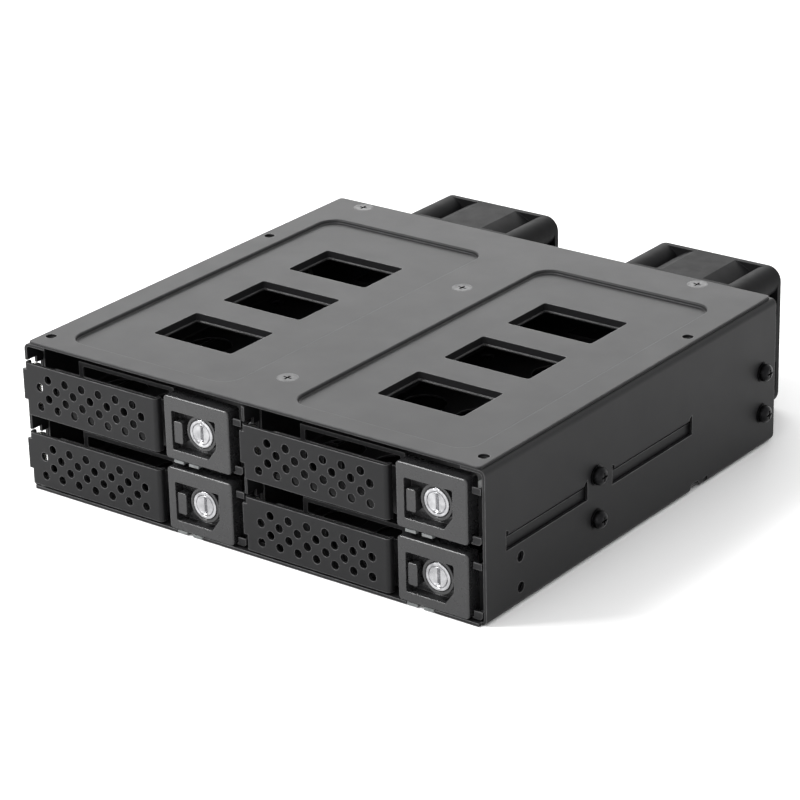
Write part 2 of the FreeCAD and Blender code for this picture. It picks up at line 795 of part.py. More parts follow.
def backplane_board():
    """Board across the cage behind the trays, with a vent above each plug in front of the fans."""
    body = part_body("backplane_board")
    add(body, "XZ", "boardY", "boardY + boardThickness",
        box_corners("-boardHalfWidth", "boardHalfWidth", "boardBottom", "boardTop", "boardCorner"))
    openings = [(x, z, "screwRadius") for x, z in standoff_places()]
    for name, x, z in fan_centres():
        for row in range(2):
            low = f"({row} * rowPitch + boardVentLow)"
            openings.append(box_corners(f"{x} - boardVentWidth / 2", f"{x} + boardVentWidth / 2", low,
                                        f"{low} + boardVentHeight", "boardVentHeight / 4"))
    cut(body, "XZ", "boardY - boardThickness", "boardY + 2 * boardThickness", *openings)
    return body


def standoff_places():
    """Where the board is held off the rear panel."""
    return [(x, z) for x in ("-standoffX", "standoffMiddle", "standoffX")
        for z in ("standoffLow", "standoffHigh")]


def board_standoffs():
    """Round posts between the board and the rear panel."""
    body = part_body("board_standoffs")
    add(body, "XZ", "boardY + boardThickness", "panelY",
        *[(x, z, "standoffRadius") for x, z in standoff_places()])
    cut(body, "XZ", "boardY", "boardY + boardThickness + postThread",
        *[(x, z, "screwRadius") for x, z in standoff_places()])
    return body


def board_screws():
    """Screws that hold the board to its posts."""
    body = part_body("board_screws")
    add(body, "XZ", "boardY - boardHeadHeight", "boardY",
        *[(x, z, "boardHeadRadius") for x, z in standoff_places()])
    add(body, "XZ", "boardY", "boardY + boardThickness + boardScrewLength",
        *[(x, z, "screwRadius") for x, z in standoff_places()])
    for x, z in standoff_places():
        cut(body, "XZ", "boardY - boardHeadHeight - gauge", "boardY - boardHeadHeight + driverDepth",
            box_corners(f"{x} - driverLength / 2", f"{x} + driverLength / 2", f"{z} - driverWidth / 2",
            f"{z} + driverWidth / 2"))
    return body


def bays():
    """The four bays: name, x and z of each bay's own origin."""
    rows = [("lower", "0"), ("upper", "rowPitch")]
    columns = [("left", "-columnPitch / 2"), ("right", "columnPitch / 2")]
    return [(f"{row}_{column}", x, z) for row, z in rows for column, x in columns]


def drive_connector(name, x, z):
    """Socket that a drive plugs into, one for each bay."""
    body = part_body(f"{name}_drive_connector", x, "boardY", z)
    left = "(plugX - plugWidth / 2)"
    right = "(plugX + plugWidth / 2)"
    add(body, "XZ", "-plugDepth", "0", box_corners(left, right, "plugLow", "plugLow + plugHeight",
        "plugCorner"))
    middle = "(plugLow + plugHeight / 2)"
    blade = [
        (f"{left} + plugEndWall", f"{middle} - plugSlotHeight / 2"),
        (f"{right} - plugEndWall", f"{middle} - plugSlotHeight / 2"),
        (f"{right} - plugEndWall", f"{middle} + plugSlotHeight / 2"),
        (f"{left} + plugKeyPlace + plugKey", f"{middle} + plugSlotHeight / 2"),
        (f"{left} + plugKeyPlace + plugKey", f"{middle} - plugSlotHeight / 4"),
        (f"{left} + plugKeyPlace", f"{middle} - plugSlotHeight / 4"),
        (f"{left} + plugKeyPlace", f"{middle} + plugSlotHeight / 2"),
        (f"{left} + plugEndWall", f"{middle} + plugSlotHeight / 2"),
    ]
    cut(body, "XZ", f"-plugDepth - {THROUGH}", "-plugDepth + plugSlotDepth", blade)
    return body


def data_connectors():
    """Four small shrouded sockets on the back of the board."""
    body = part_body("data_connectors")
    cells = [(f"(dataX + {column} * dataPitchX / 2)", f"(dataLow + {row} * dataPitchZ)")
        for column in (-1, 1) for row in range(2)]
    start = "(boardY + boardThickness)"
    add(body, "XZ", start, f"{start} + dataDepth",
        *[box_corners(f"{x} - dataWidth / 2", f"{x} + dataWidth / 2", z, f"{z} + dataHeight", "portCorner")
        for x, z in cells])
    wells = []
    for x, z in cells:
        middle = f"({z} + dataHeight / 2)"
        wells.append([
            (f"{x} - dataWidth / 2 + dataWall", f"{middle} - dataSlot / 2"),
            (f"{x} + dataWidth / 2 - dataWall", f"{middle} - dataSlot / 2"),
            (f"{x} + dataWidth / 2 - dataWall", f"{middle} + dataSlot"),
            (f"{x} + dataWidth / 2 - dataWall - dataKeyWidth", f"{middle} + dataSlot"),
            (f"{x} + dataWidth / 2 - dataWall - dataKeyWidth", f"{middle} + dataSlot / 2"),
            (f"{x} - dataWidth / 2 + dataWall", f"{middle} + dataSlot / 2"),
        ])
    cut(body, "XZ", f"{start} + dataDepth - portDepth", f"{start} + dataDepth + {THROUGH}", *wells)
    return body


def power_connectors():
    """Two upright power inlets on the back of the board."""
    body = part_body("power_connectors")
    start = "(boardY + boardThickness)"
    centres = [f"(powerX + {side} * powerPitch / 2)" for side in (-1, 1)]
    add(body, "XZ", start, f"{start} + dataDepth",
        *[box_corners(f"{x} - powerWidth / 2", f"{x} + powerWidth / 2", "powerLow",
        "powerLow + powerHeight", "portCorner") for x in centres])
    cut(body, "XZ", f"{start} + dataDepth - portDepth", f"{start} + dataDepth + {THROUGH}",
        *[box_corners(f"{x} - powerSlot / 2", f"{x} + powerSlot / 2", "powerLow + powerWall",
        "powerLow + powerHeight - powerWall") for x in centres])
    return body


def status_leds():
    """Two small lamps for each bay on the front of the board, behind the light guides."""
    body = part_body("status_leds")
    lamps = []
    for name, x, z in bays():
        for start in ("pipeLeft", "pipeSecond"):
            lamps.append(box_corners(f"{x} + {start} + pipeWidth / 2 - ledWidth / 2",
                f"{x} + {start} + pipeWidth / 2 + ledWidth / 2",
                                     f"{z} + boardBottom + ledLift",
                                     f"{z} + boardBottom + ledLift + ledHeight"))
    add(body, "XZ", "boardY - ledDepth", "boardY", *lamps)
    return body


def fan_frame(name, x, z):
    """Square fan housing: two flanges, a duct, corner posts and a hub held by four struts."""
    body = part_body(f"{name}_fan_frame", x, "panelY + gauge", z)
    half = "(fanSize / 2)"
    square = box_corners(f"-{half}", half, f"-{half}", half, "fanCorner")
    add(body, "XZ", "0", "fanFlange", square)
    add(body, "XZ", "fanDepth - fanFlange", "fanDepth", square)
    posts = [(f"{across} * fanPostPlace", f"{up} * fanPostPlace", "fanPostRadius") for across in (-1, 1)
        for up in (-1, 1)]
    add(body, "XZ", "fanFlange / 2", "fanDepth - fanFlange / 2", *posts)
    add(body, "XZ", "fanFlange / 2", "fanDepth - fanFlange / 2", ("0", "0", "fanDuct"))
    beyond = f"({half} + fanFlange)"
    cut(body, "XZ", "0", "fanDepth",
        box_corners(half, beyond, f"-{half}", half), box_corners(f"-{beyond}", f"-{half}", f"-{half}", half),
        box_corners(f"-{half}", half, half, beyond), box_corners(f"-{half}", half, f"-{beyond}", f"-{half}"))
    cut(body, "XZ", f"-{THROUGH}", f"fanDepth + {THROUGH}", ("0", "0", "fanBore"))
    cut(body, "XZ", f"-{THROUGH}", f"fanDepth + {THROUGH}",
        *[(px, pz, "fanHoleRadius") for px, pz, r in posts])
    hub_start = "(fanDepth - fanStrutDepth)"
    add(body, "XZ", hub_start, "fanDepth", ("0", "0", "fanHubRadius"))
    reach = "(fanBore + fanStrutRoot)"
    add(body, "XZ", hub_start, "fanDepth", box_corners(f"-{reach}", reach, "-fanStrutWidth / 2",
        "fanStrutWidth / 2"))
    add(body, "XZ", hub_start, "fanDepth", box_corners("-fanStrutWidth / 2", "fanStrutWidth / 2",
        f"-{reach}", reach))
    add(body, "XZ", "fanDepth - rotorLength", "fanDepth - fanBossBack", ("0", "0", "fanBoss"))
    cut(body, "XZ", "0", "fanDepth - fanBearingFloor", ("0", "0", "fanShaft + runningFit"))
    return body


def fan_rotor(name, x, z):
    """Hub cup with seven slanted blades on a thin shaft."""
    body = part_body(f"{name}_fan_rotor", x, "panelY + gauge", z)
    back = "(fanDepth - fanStrutDepth - rotorGap)"
    front = f"({back} - rotorLength)"
    add(body, "XZ", front, back, ("0", "0", "fanHubRadius"))
    cut(body, "XZ", f"{front} + cupWall", f"{back} + {THROUGH}", ("0", "0", "fanHubRadius - cupWall"))
    add(body, "XZ", front, "fanDepth - fanShaftEnd", ("0", "0", "fanShaft"))
    half_run = "(bladeThickness / 2)"
    tilt = "(rotorLength / 2 - bladeInset)"
    support = next(feature for feature in body.Origin.OriginFeatures if feature.Role == "XY_Plane")
    sketch = body.newObject("Sketcher::SketchObject", "BladeSection")
    sketch.AttachmentSupport = (support, [""])
    sketch.MapMode = "FlatFace"
    sketch.setExpression("AttachmentOffset.Base.z", formula("fanHubRadius - bladeRoot"))
    middle = f"({front} + rotorLength / 2)"
    run = f"({tilt} * tan(bladeAngle))"
    draw_outline(sketch, [
        (f"-{run} - {half_run}", f"{middle} - {tilt}"),
        (f"-{run} + {half_run}", f"{middle} - {tilt}"),
        (f"{run} + {half_run}", f"{middle} + {tilt}"),
        (f"{run} - {half_run}", f"{middle} + {tilt}"),
    ])
    blade = body.newObject("PartDesign::Pad", "Blade")
    blade.Profile = sketch
    blade.setExpression("Length", formula("fanBore - rotorGap - fanHubRadius + bladeRoot - bladeTipGap"))
    ring = body.newObject("PartDesign::PolarPattern", "Blades")
    ring.Originals = [blade]
    ring.Axis = (next(feature for feature in body.Origin.OriginFeatures if feature.Role == "Y_Axis"), [""])
    ring.Angle = 360
    ring.Occurrences = BLADES
    body.Tip = ring
    return body


def fan_screws():
    """Short screws from inside the rear panel into the fans' corner posts."""
    body = part_body("fan_screws")
    places = []
    for name, x, z in fan_centres():
        for across in (-1, 1):
            for up in (-1, 1):
                places.append((f"{x} + {across} * fanPostPlace", f"{z} + {up} * fanPostPlace"))
    add(body, "XZ", "panelY - boardHeadHeight", "panelY", *[(x, z, "boardHeadRadius") for x, z in places])
    add(body, "XZ", "panelY", "panelY + fanScrewLength", *[(x, z, "screwRadius") for x, z in places])
    return body


def cover_screws():
    """Countersunk screws of the cover, with crossed recesses."""
    body = part_body("cover_screws")
    for number, (x, y) in enumerate(screw_places()):
        length = "coverScrewLength" if number < 2 else "rearScrewLength"
        turn(body, "PartDesign::Revolution", "Z", (x, y), [
            ("0", f"cageHeight - sinkDepth - {length}"),
            ("screwRadius", f"cageHeight - sinkDepth - {length}"),
            ("screwRadius", "cageHeight - sinkDepth"),
            ("sinkRadius - sinkDepth", "cageHeight - sinkDepth"),
            ("sinkRadius", "cageHeight"),
            ("0", "cageHeight"),
        ])
    for x, y in screw_places():
        for wide, tall in (("driverLength", "driverWidth"), ("driverWidth", "driverLength")):
            cut(body, "XY", "cageHeight - driverDepth", f"cageHeight + {THROUGH}",
                box_corners(f"{x} - {wide} / 2", f"{x} + {wide} / 2", f"{y} - {tall} / 2",
                f"{y} + {tall} / 2"))
    return body


def side_screw_places():
    """Where the screws sit in each wall: y and z."""
    return [(f"(sideScrewFront + {column} * sideScrewPitch)", z) for column in range(2)
        for z in ("sideScrewLow", "sideScrewHigh")]


def side_washers():
    """Flat washers under the side screws."""
    body = part_body("side_washers")
    rings = [(y, z, "washerRadius") for y, z in side_screw_places()]
    holes = [(y, z, "screwRadius") for y, z in side_screw_places()]
    add(body, "YZ", WALL_OUT, f"{WALL_OUT} + washerThickness", *rings)
    add(body, "YZ", f"-({WALL_OUT} + washerThickness)", f"-{WALL_OUT}", *rings)
    cut(body, "YZ", f"-({WALL_OUT} + {THROUGH})", f"{WALL_OUT} + {THROUGH}", *holes)
    return body


def side_screws():
    """Pan head screws through washers and walls, flush with the wall inside."""
    body = part_body("side_screws")
    head_in = f"({WALL_OUT} + washerThickness)"
    head_out = f"({head_in} + panHeadHeight)"
    for y, z in side_screw_places():
        section = [
            (WALL_IN, "0"),
            (WALL_IN, "screwRadius"),
            (head_in, "screwRadius"),
            (head_in, "panHeadRadius"),
            (head_out, "panHeadRadius", "panHeadDome"),
            (head_out, "0"),
        ]
        turn(body, "PartDesign::Revolution", "X", (y, z), section)
        turn(body, "PartDesign::Revolution", "X", (y, z), mirror_x(section))
    crosses = []
    for y, z in side_screw_places():
        for wide, tall in (("driverLength", "driverWidth"), ("driverWidth", "driverLength")):
            crosses.append(box_corners(f"{y} - {wide} / 2", f"{y} + {wide} / 2", f"{z} - {tall} / 2",
                f"{z} + {tall} / 2"))
    for number in range(2):
        cut(body, "YZ", f"{head_out} - driverDepth", f"{head_out} + {THROUGH}", *crosses[number::2])
        cut(body, "YZ", f"-({head_out} + {THROUGH})", f"-({head_out} - driverDepth)", *crosses[number::2])
    return body


def drive_tray(name, x, z):
    """Sheet tray, open above and behind, with a pierced face and ears for the handle's pin."""
    body = part_body(f"{name}_tray", x, "0", z)
    out = "(columnPitch / 2 - gauge / 2 - trayGap)"
    inside = f"({out} - trayGauge)"
    floor_top = "(trayFloor + trayGauge)"
    channel = [
        (f"-{out}", "trayFloor", "trayBend"),
        (out, "trayFloor", "trayBend"),
        (out, "trayTop"),
        (inside, "trayTop"),
        (inside, floor_top, "trayBend - trayGauge"),
        (f"-{inside}", floor_top, "trayBend - trayGauge"),
        (f"-{inside}", "trayTop"),
        (f"-{out}", "trayTop"),
    ]
    add(body, "XZ", "trayRight", "trayEnd", channel)
    face_back = "(trayFaceY + trayGauge)"
    cut(body, "XY", f"trayFloor - {THROUGH}", f"trayTop + {THROUGH}",
        [(f"-{out} - {THROUGH}", f"trayRight - {THROUGH}"),
        ("lugLeft - lugClear", f"trayRight - {THROUGH}"), ("lugLeft - lugClear", "trayFaceY"),
        ("trayFaceLeft", "trayFaceY"),
         ("trayFaceLeft", "earNotchDepth"), (f"-{out} - {THROUGH}", "earNotchDepth")])
    add(body, "XZ", "trayFaceY", face_back, box_corners("trayFaceLeft", f"{out} - trayGauge / 2",
        f"{floor_top} - trayGauge / 2", "trayFaceTop"))
    add(body, "XZ", "trayFaceY", face_back, box_corners("railLeft", "railRight", "trayFaceTop - trayGauge",
        "railTop"))
    cut(body, "XZ", "trayFaceY", face_back,
        box_corners("railLeft + railPost", "railRight - railPost", "trayFaceTop", "railTop - railBand",
        "railBand / 2"))
    add(body, "XY", "railTop - trayGauge", "railTop",
        box_corners("railLeft", "railRight", "trayFaceY", "trayFaceY + railDepth", f"railDepth / 2 - {HAIR}"))
    lugs = [box_corners("lugLeft", f"{out} - trayGauge / 2", low, high)
            for low, high in (("lugLowBottom", "lugLowTop"), ("lugHighBottom", "lugHighTop"))]
    add(body, "XZ", "trayRight", "trayRight + trayGauge", *lugs)
    cut(body, "YZ", f"{out} - trayGauge - lugClear", f"{out} + {THROUGH}",
        box_corners(f"trayRight - {THROUGH}", "earNotchDepth", "lugLowTop", "lugHighBottom"),
        box_corners(f"trayRight - {THROUGH}", "trayFaceY - faceClear", "lugHighTop", f"trayTop + {THROUGH}"))
    first_low, first_high = "(knuckleLow + gauge + knuckleClear)", "(knuckleLow + gauge + knuckleClear + trayGauge)"
    second_low, second_high = "(knuckleHigh - knuckleClear - trayGauge)", "(knuckleHigh - knuckleClear)"
    for low, high in ((first_low, first_high), (second_low, second_high)):
        add(body, "XY", low, high, box_corners("pinX", "trayFaceLeft + earRoot", "pinY - trayKnuckle",
            face_back))
        add(body, "XY", low, high, ("pinX", "pinY", "trayKnuckle"))
        cut(body, "XY", low, high, box_corners(f"pinX - {THROUGH}", "trayFaceLeft - lugClear",
            "pinY + trayKnuckle", f"{face_back} + {THROUGH}"))
    cut(body, "XY", first_low, second_high, ("pinX", "pinY", "pinRadius"))
    vents = [box_corners(f"railLeft + railPost + {number} * ventPitch",
        f"railLeft + railPost + {number} * ventPitch + ventWidth", "ventLow", "ventHigh",
                         f"ventWidth / 2 - {HAIR}") for number in range(5)]
    finger = box_corners("slatLeft - catchClear", "slatLeft + fingerWidth + slatTravel + catchClear",
                         "slatLow + slatNeck / 2 - catchClear", "slatLow + slatNeck * 2 + catchClear")
    cut(body, "XZ", f"trayFaceY - {THROUGH}", "trayFaceY + 2 * trayGauge",
        ("lockX", "lockZ", "lockRadius + lockHoleClear"), finger, *vents)
    floor_holes = [(f"floorHoleX + {column} * floorHolePitchX", f"floorHoleY + {row} * floorHolePitchY",
        "floorHoleRadius")
                   for column, count in ((0, 4), (1, 5)) for row in range(count)]
    floor_holes += [(f"{side} * driveHoleX", f"driveHoleFront + {number} * driveHolePitch", "driveHoleRadius")
                    for side in (-1, 1) for number in range(2)]
    cut(body, "XY", "trayFloor - trayGauge", "trayFloor + 2 * trayGauge", *floor_holes)
    guides = [box_corners(start, f"{start} + pipeWidth", f"trayFaceY - {THROUGH}", "trayEnd - pipeEndGap")
        for start in ("pipeLeft", "pipeSecond")]
    cut(body, "XY", f"trayFloor - {THROUGH}", "pipeTop + guideClear", *guides)
    return body


def light_pipes(name, x, z):
    """Two clear light guides along the tray's floor, stepped down at the front."""
    body = part_body(f"{name}_light_pipes", x, "0", z)
    for start in ("pipeLeft", "pipeSecond"):
        section = [
            ("handleFront", "pipeLow"),
            ("pipeStep", "pipeLow"),
            ("pipeStep", "pipeTop - pipeThin"),
            ("trayEnd - pipeEndGap", "pipeTop - pipeThin"),
            ("trayEnd - pipeEndGap", "pipeTop"),
            ("trayFaceY", "pipeTop"),
            ("trayFaceY", "latchLow"),
            ("handleFront", "latchLow"),
        ]
        add(body, "YZ", start, f"{start} + pipeWidth", section)
    return body


def latch_plate(name, x, z):
    """Moulded front plate with a pocket, the lock's collar and a channel for the catch."""
    body = part_body(f"{name}_latch_plate", x, "0", z)
    add(body, "XZ", "handleFront", "trayFaceY",
        box_corners("latchLeft", "latchRight", "latchLow", "latchHigh", "latchCorner"))
    front = value("handleFront")
    soften(body, "latchSoftness", lambda box: box.YMax < front + value(HAIR))
    cut(body, "XZ", f"handleFront - {THROUGH}", "pocketFloor", [
        ("pocketLeft", "pocketLow", "pocketCorner"),
        ("pocketCornerX", "pocketLow", "pocketCorner"),
        ("pocketRight", "pocketCornerZ", "pocketCorner"),
        ("pocketRight", "pocketHigh", "pocketCorner"),
        ("pocketLeft", "pocketHigh", "pocketCorner"),
    ])
    add(body, "XZ", "handleFront + collarInset", "trayFaceY", ("lockX", "lockZ", "lockCollar"))
    cut(body, "XZ", f"handleFront - {THROUGH}", f"trayFaceY + {THROUGH}",
        ("lockX", "lockZ", "lockRadius + runningFit"))
    cut(body, "XZ", f"handleFront - {THROUGH}", "handleFront + 2 * collarInset",
        ("lockX", "lockZ", "lockRadius + lockGroove"))
    bar_low, bar_high = "(slatLow + slatNeck / 2 - catchClear)", "(slatLow + slatNeck * 2 + catchClear)"
    cut(body, "XZ", "pocketFloor + catchClear", f"trayFaceY + {THROUGH}",
        box_corners(f"latchLeft - {THROUGH}", "slatRight + slatTravel", bar_low, bar_high))
    cut(body, "XZ", f"handleFront - {THROUGH}", "trayFaceY",
        box_corners("slatLeft + slatNeck / 2 - catchClear", "slatRight + slatTravel - channelTrim", bar_low,
        bar_high))
    return body


def release_catch(name, x, z):
    """Sliding catch: finger slat, bar with a nose, and a finger behind the tray's face."""
    body = part_body(f"{name}_release_catch", x, "0", z)
    low, high = "(slatLow + slatNeck / 2)", "(slatLow + slatNeck * 2)"
    bar_front = "(pocketFloor + 2 * catchClear)"
    bar_back = "(trayFaceY - catchClear)"
    add(body, "XZ", "slatFront", "pocketFloor - catchClear",
        box_corners("slatLeft", "slatRight - slatTrim", "slatLow", "slatHigh", "slatCorner"))
    add(body, "XZ", "slatFront + slatSkin", bar_back,
        box_corners("slatLeft + slatNeck / 2", "slatRight - barTrim", low, high))
    add(body, "XZ", bar_front, bar_back, box_corners("catchNose", "slatRight - barTrim", low, high))
    add(body, "XZ", bar_front, "fingerBack", box_corners("slatLeft", "slatLeft + fingerWidth", low, high))
    return body


def catch_spring(name, x, z):
    """Short compression spring at the end of the catch's bar."""
    body = part_body(f"{name}_catch_spring", x, "0", z)
    middle = "(slatLow + slatNeck * 1.25)"
    axis_y = "((pocketFloor + 2 * catchClear + trayFaceY - catchClear) / 2)"
    add(body, "YZ", "slatLeft + fingerWidth", "slatLeft + fingerWidth + catchSpring",
        (axis_y, middle, "catchClear"))
    return body


def lock_barrel(name, x, z):
    """Key barrel with a slot in its face and a cam behind the tray's face."""
    body = part_body(f"{name}_lock_barrel", x, "0", z)
    add(body, "XZ", "lockFront", "lockBack", ("lockX", "lockZ", "lockRadius"))
    cut(body, "XZ", f"lockFront - {THROUGH}", "lockFront + keyDepth",
        box_corners("lockX - keyWidth / 2", "lockX + keyWidth / 2", "lockZ - keyLength / 2",
        "lockZ + keyLength / 2"),
        box_corners("lockX - rimNotchWidth / 2", "lockX + rimNotchWidth / 2",
        "lockZ + lockRadius - rimNotchDepth", f"lockZ + lockRadius + {THROUGH}"))
    add(body, "XZ", "camStart", "camStart + camThickness",
        box_corners("lockX - camWidth / 2", "lockX + camWidth / 2", "lockZ - camLength", "lockZ"))
    return body


def handle(name, x, z):
    """Pierced sheet handle with a tab at its left end and eyes for the hinge pin."""
    body = part_body(f"{name}_handle", x, "0", z)
    back = "(handleFront + gauge)"
    end = "(handleFront + gauge + handleReturn)"
    plan = [
        ("handleLeft", "handleFront", "handleBend"),
        ("handleRight", "handleFront", "handleBend"),
        ("handleRight", end),
        ("handleRight - gauge", end),
        ("handleRight - gauge", back, "handleBend - gauge"),
        ("handleLeft + gauge", back, "handleBend - gauge"),
        ("handleLeft + gauge", end),
        ("handleLeft", end),
    ]
    add(body, "XY", "handleLow", "handleHigh", plan)
    add(body, "XZ", "handleFront", back, [
        ("tabTip", "tabLow"),
        ("handleLeft + tabRoot", "tabLow"),
        ("handleLeft + tabRoot", "tabHigh"),
        ("tabTip", "tabHigh"),
    ])
    cut(body, "XZ", back, f"{back} + tabRoot",
        box_corners(f"tabTip - {THROUGH}", "handleLeft + gauge + tabRelief", "tabLow", "tabHigh"))
    for low in ("knuckleLow", "knuckleHigh"):
        high = f"({low} + gauge)"
        add(body, "XY", low, high, ("pinX", "pinY", "knuckleRadius"))
        add(body, "XY", low, high, box_corners("pinX - knuckleRadius", "pinX + knuckleRadius",
            f"{back} - eyeRoot", "pinY"))
        cut(body, "XY", low, high, ("pinX", "pinY", "pinRadius + runningFit"))
    holes = []
    for row, (count, start) in enumerate(GRIP_ROWS):
        holes += [(f"{start} + {number} * gripPitch", f"gripFirst - {row} * gripRow", "gripRadius")
            for number in range(count)]
    cut(body, "XZ", f"handleFront - {THROUGH}", f"{back} + eyeRoot", *holes)
    return body


def hinge_pin(name, x, z):
    """Upright pin that the handle swings on."""
    body = part_body(f"{name}_hinge_pin", x, "0", z)
    add(body, "XY", "knuckleLow", "knuckleHigh + gauge", ("pinX", "pinY", "pinRadius"))
    return body


def handle_spring(name, x, z):
    """Coil about the hinge pin, between the tray's ears."""
    body = part_body(f"{name}_handle_spring", x, "0", z)
    low = "(knuckleLow + gauge + knuckleClear + trayGauge)"
    high = "(knuckleHigh - knuckleClear - trayGauge - springMargin)"
    add(body, "XY", low, high, ("pinX", "pinY", "springRadius"))
    cut(body, "XY", low, high, ("pinX", "pinY", "springBore"))
    return body


pieces = [
    chassis_shell(),
    top_cover(),
    centre_divider(),
    rear_panel(),
    backplane_board(),
    board_standoffs(),
    board_screws(),
    data_connectors(),
    power_connectors(),
    status_leds(),
    fan_screws(),
    cover_screws(),
    side_washers(),
    side_screws(),
]
for fan_name, fan_x, fan_z in fan_centres():
    pieces.append(fan_frame(fan_name, fan_x, fan_z))
    pieces.append(fan_rotor(fan_name, fan_x, fan_z))
for bay_name, bay_x, bay_z in bays():
    for make in (drive_connector, drive_tray, light_pipes, latch_plate, release_catch, catch_spring,
        lock_barrel, handle,
                 hinge_pin, handle_spring):
        pieces.append(make(bay_name, bay_x, bay_z))
doc.recompute()

broken = [item.Label for item in doc.Objects if "Invalid" in item.State or "Error" in item.State]
for piece in pieces:
    if piece.Shape.isNull() or not piece.Shape.isValid() or piece.Shape.Volume <= 0:
        broken.append(piece.Label)
if broken:
    raise RuntimeError("pieces with errors: " + ", ".join(broken))

os.makedirs("parts", exist_ok=True)
for piece in pieces:
    piece.Shape.exportStep(f"parts/{piece.Label}.step")
    print(piece.Label, len(piece.Shape.Solids), round(piece.Shape.Volume, 1))
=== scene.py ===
import json
import math

import bpy
import numpy as np
from mathutils import Matrix, Vector


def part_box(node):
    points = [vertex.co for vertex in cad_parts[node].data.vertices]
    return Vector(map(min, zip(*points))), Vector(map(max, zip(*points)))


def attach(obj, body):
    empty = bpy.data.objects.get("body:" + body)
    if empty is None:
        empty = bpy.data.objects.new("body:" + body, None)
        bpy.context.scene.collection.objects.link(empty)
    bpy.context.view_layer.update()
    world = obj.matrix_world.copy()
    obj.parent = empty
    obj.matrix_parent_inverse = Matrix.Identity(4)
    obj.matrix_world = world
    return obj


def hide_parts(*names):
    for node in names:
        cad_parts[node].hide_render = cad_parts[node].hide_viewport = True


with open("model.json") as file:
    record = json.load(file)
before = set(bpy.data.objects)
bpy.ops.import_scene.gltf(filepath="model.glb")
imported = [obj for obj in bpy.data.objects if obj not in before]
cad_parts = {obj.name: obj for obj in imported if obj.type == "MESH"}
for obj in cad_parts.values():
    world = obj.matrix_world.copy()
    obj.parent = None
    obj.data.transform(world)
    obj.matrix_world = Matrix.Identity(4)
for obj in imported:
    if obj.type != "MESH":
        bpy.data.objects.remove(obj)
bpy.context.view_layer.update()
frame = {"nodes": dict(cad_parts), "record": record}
nodes = frame["nodes"]
mm = 0.001
bays = ["lower_left", "lower_right", "upper_left", "upper_right"]
print("frame loaded:", len(nodes), "nodes")


def linearColor(hexCode):
    # an sRGB hex value as the linear colour that shaders take
    parts = [int(hexCode[i:i + 2], 16) / 255 for i in (1, 3, 5)]
    linear = [p / 12.92 if p <= 0.04045 else ((p + 0.055) / 1.055) ** 2.4 for p in parts]
    return (*linear, 1.0)


def addNode(material, kind, settings=None, links=None):
    # adds one node: settings are properties or input values, links join inputs to other nodes' outputs
    node = material.node_tree.nodes.new(kind)
    for name, setting in (settings or {}).items():
        if isinstance(name, str) and hasattr(node, name):
            setattr(node, name, setting)
        else:
            node.inputs[name].default_value = setting
    for name, output in (links or {}).items():
        material.node_tree.links.new(output, node.inputs[name])
    return node


def startMaterial(name):
    # an empty material with its output, and the object coordinates that every pattern reads
    material = bpy.data.materials.new(name)
    material.use_nodes = True
    material.node_tree.nodes.clear()
    place = addNode(material, "ShaderNodeTexCoord")
    return material, place.outputs["Object"]


def endMaterial(material, shader):
    addNode(material, "ShaderNodeOutputMaterial", links={"Surface": shader.outputs["BSDF"]})
    return material


def noiseAt(material, place, size, detail, settings=None):
    # plain noise with grains of the given size in mm
    noise = addNode(material, "ShaderNodeTexNoise",
                    {"Scale": 1 / (size * mm), "Detail": detail, **(settings or {})}, {"Vector": place})
    return noise.outputs["Fac"]


# The middle of a noise's range, spread to the whole: its ends are seldom reached
blotchRange = {"low": 0.3, "high": 0.7, "detail": 4.0, "rough": 0.6}


def blotches(material, place, low, high, size):
    # a number that drifts between low and high over patches of the given size in mm
    p = blotchRange
    noise = noiseAt(material, place, size, p["detail"], {"Roughness": p["rough"]})
    spread = addNode(material, "ShaderNodeMapRange",
                     {"From Min": p["low"], "From Max": p["high"], "To Min": low, "To Max": high},
                     {"Value": noise})
    return spread.outputs["Result"]


# Sockets of the mix node for colours: its factor, its two colours and its result
mixFactor, mixFirst, mixSecond, mixResult = 0, 6, 7, 2


def mixColors(material, factor, dark, light):
    # blends two colours by a pattern
    blend = addNode(material, "ShaderNodeMix",
                    {"data_type": "RGBA", mixFirst: linearColor(dark), mixSecond: linearColor(light)},
                    {mixFactor: factor})
    return blend.outputs[mixResult]


def roundedNormal(material, radius):
    # softens sharp corners as a coat or a mould radius does
    return addNode(material, "ShaderNodeBevel", {"samples": 4, "Radius": radius * mm}).outputs["Normal"]


# Edge mask: cosines of the lean at which it starts and is full, and the patches that break it up
edgeLook = {"starts": 0.998, "full": 0.9, "weakest": 0.35, "patchMm": 2.5}


def edgeMask(material, place, radius):
    # 1 on sharp edges, broken up by patches: how far a rounded normal leans from the true one
    p = edgeLook
    true = addNode(material, "ShaderNodeNewGeometry")
    dot = addNode(material, "ShaderNodeVectorMath", {"operation": "DOT_PRODUCT"},
                  {0: roundedNormal(material, radius), 1: true.outputs["True Normal"]})
    lean = addNode(material, "ShaderNodeMapRange",
                   {"From Min": p["starts"], "From Max": p["full"], "To Min": 0.0, "To Max": 1.0},
                   {"Value": dot.outputs["Value"]})
    broken = addNode(material, "ShaderNodeMath", {"operation": "MULTIPLY"},
                     {0: lean.outputs["Result"], 1: blotches(material, place, p["weakest"], 1.0, p["patchMm"])})
    return broken.outputs["Value"]


def edgeLevel(material, edges, plain, edge):
    # a shader value that goes from the plain one to the edge's along the edge mask
    level = addNode(material, "ShaderNodeMapRange",
                    {"From Min": 0.0, "From Max": 1.0, "To Min": plain, "To Max": edge}, {"Value": edges})
    return level.outputs["Result"]


